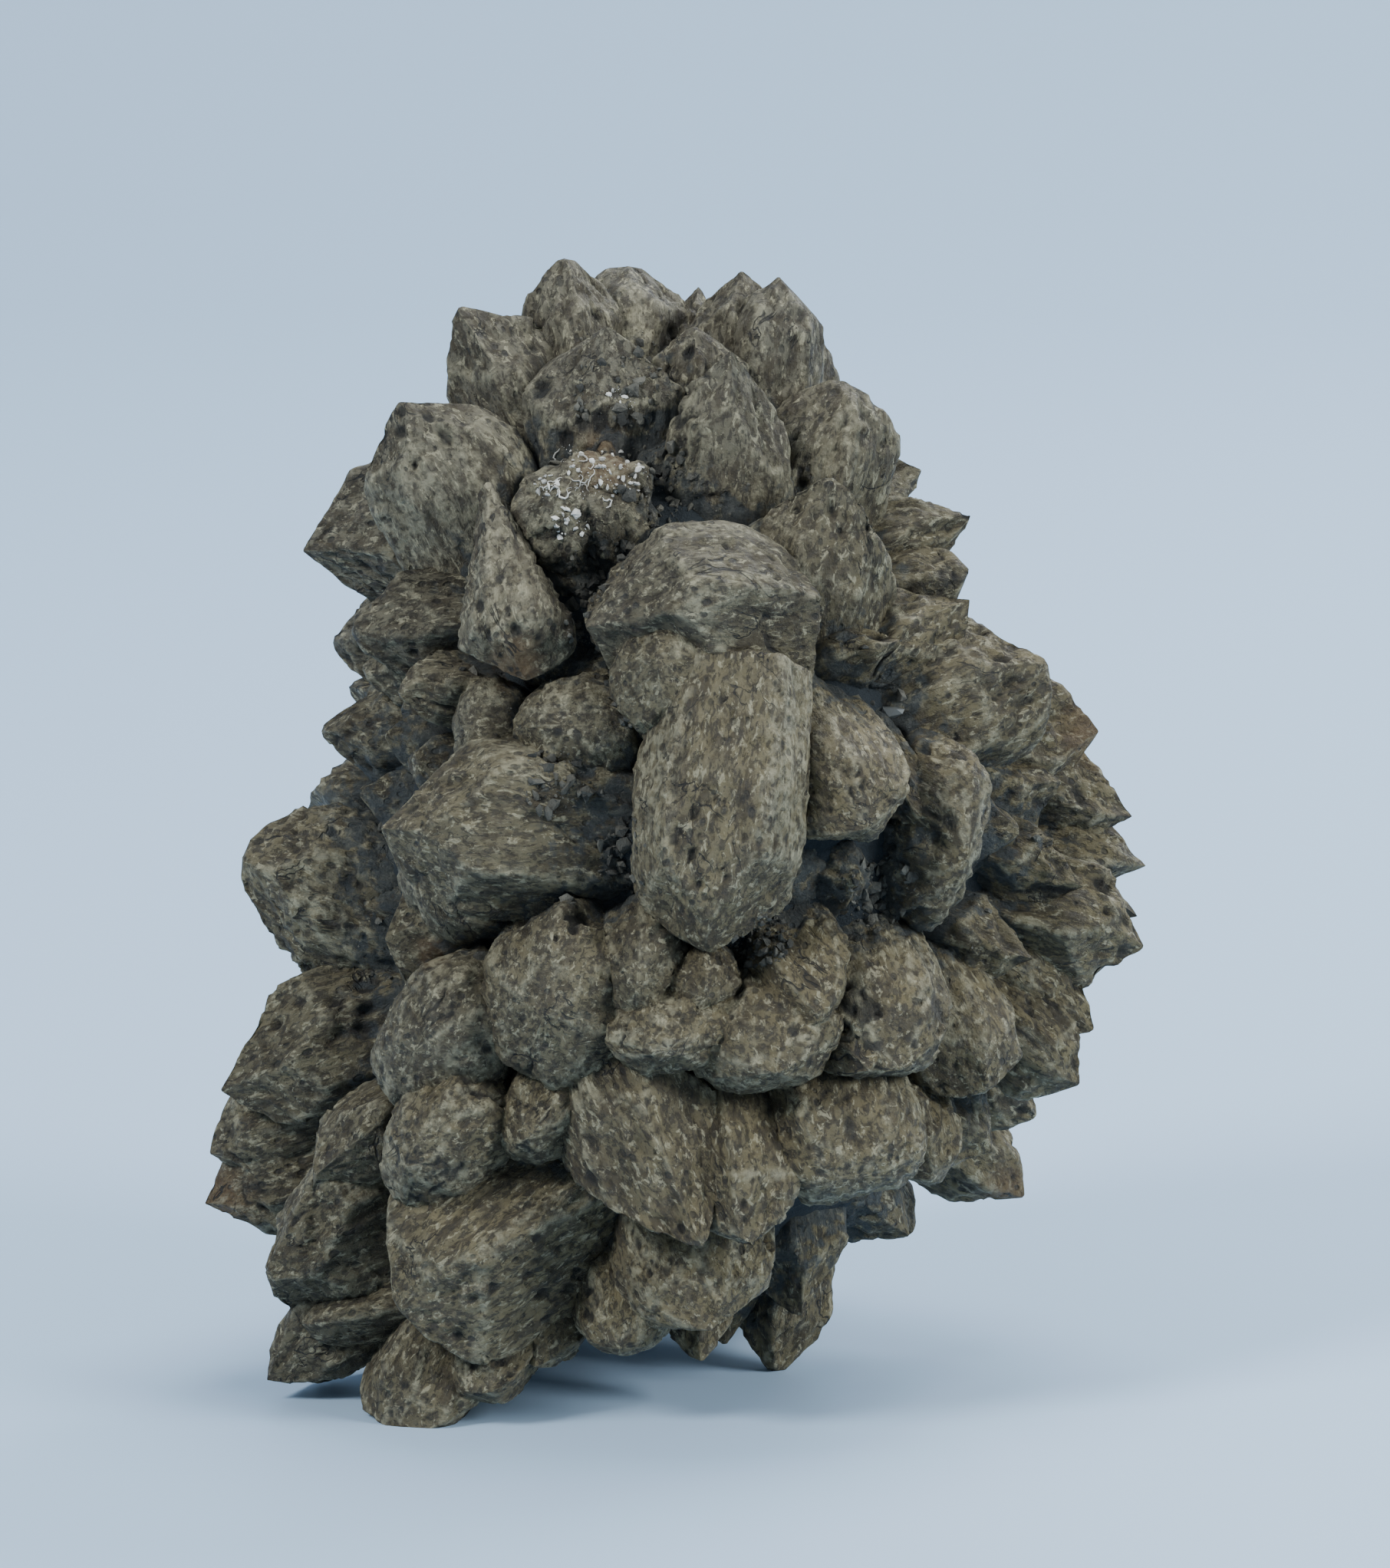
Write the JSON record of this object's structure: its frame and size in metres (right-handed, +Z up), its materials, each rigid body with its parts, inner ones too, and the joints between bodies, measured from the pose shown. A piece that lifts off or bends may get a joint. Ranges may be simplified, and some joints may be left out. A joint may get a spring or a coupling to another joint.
{
  "type": "mineral cluster",
  "caption": "Cone-shaped cluster of blunt, fat, bladed crystals pointing outwards, standing upright on the worn tips of its lowest blades.",
  "frame": {"origin": "middle of the bounding box in plan, on the floor plane that the feet's soles lie in", "axes": "+Z up toward the crown, -Y toward the side seen in the picture, +X to the viewer's right"},
  "size_m": [0.1134, 0.0948, 0.1308],
  "materials": {
    "calcite": "dull, earthy, pitted"
  },
  "bodies": {
    "root": {"crystal_cluster": "calcite"}
  },
  "joints": []
}
